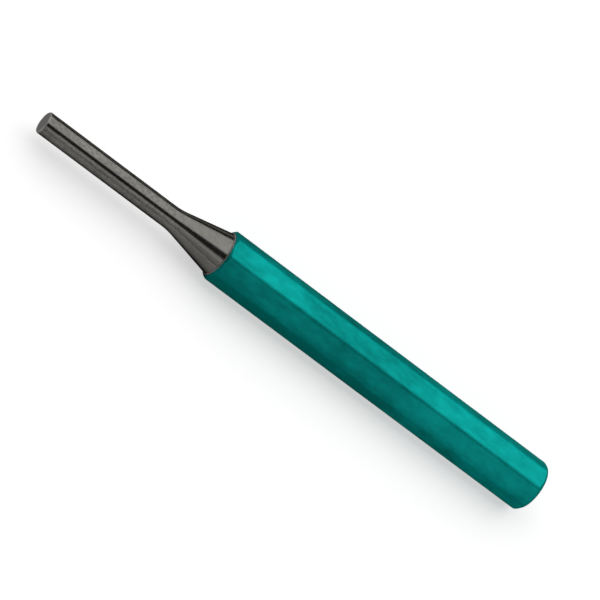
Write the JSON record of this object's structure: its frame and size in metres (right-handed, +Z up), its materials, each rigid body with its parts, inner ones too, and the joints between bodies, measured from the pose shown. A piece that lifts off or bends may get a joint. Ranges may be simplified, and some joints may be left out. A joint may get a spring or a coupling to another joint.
{
  "type": "pin punch",
  "caption": "Pin punch with a slim parallel steel pin, a tapered shoulder and a lacquered octagonal body, for driving pins out of their holes with a hammer.",
  "frame": {"origin": "on the resting surface, under the middle of the punch's length and width", "axes": "+X along the punch's axis towards the struck end, so the tip is at -X; +Z up, with the body lying on one flat"},
  "size_m": [0.15, 0.0126, 0.0127],
  "materials": {
    "pin_steel": "dark hardened steel, ground along its length to a satin finish",
    "bar_steel": "turned bare steel, satin",
    "lacquer": "glossy teal lacquer over steel"
  },
  "bodies": {
    "root": {"punch_pin": "pin_steel", "octagonal_body": "bar_steel", "lacquer_coat": "lacquer"}
  },
  "joints": []
}
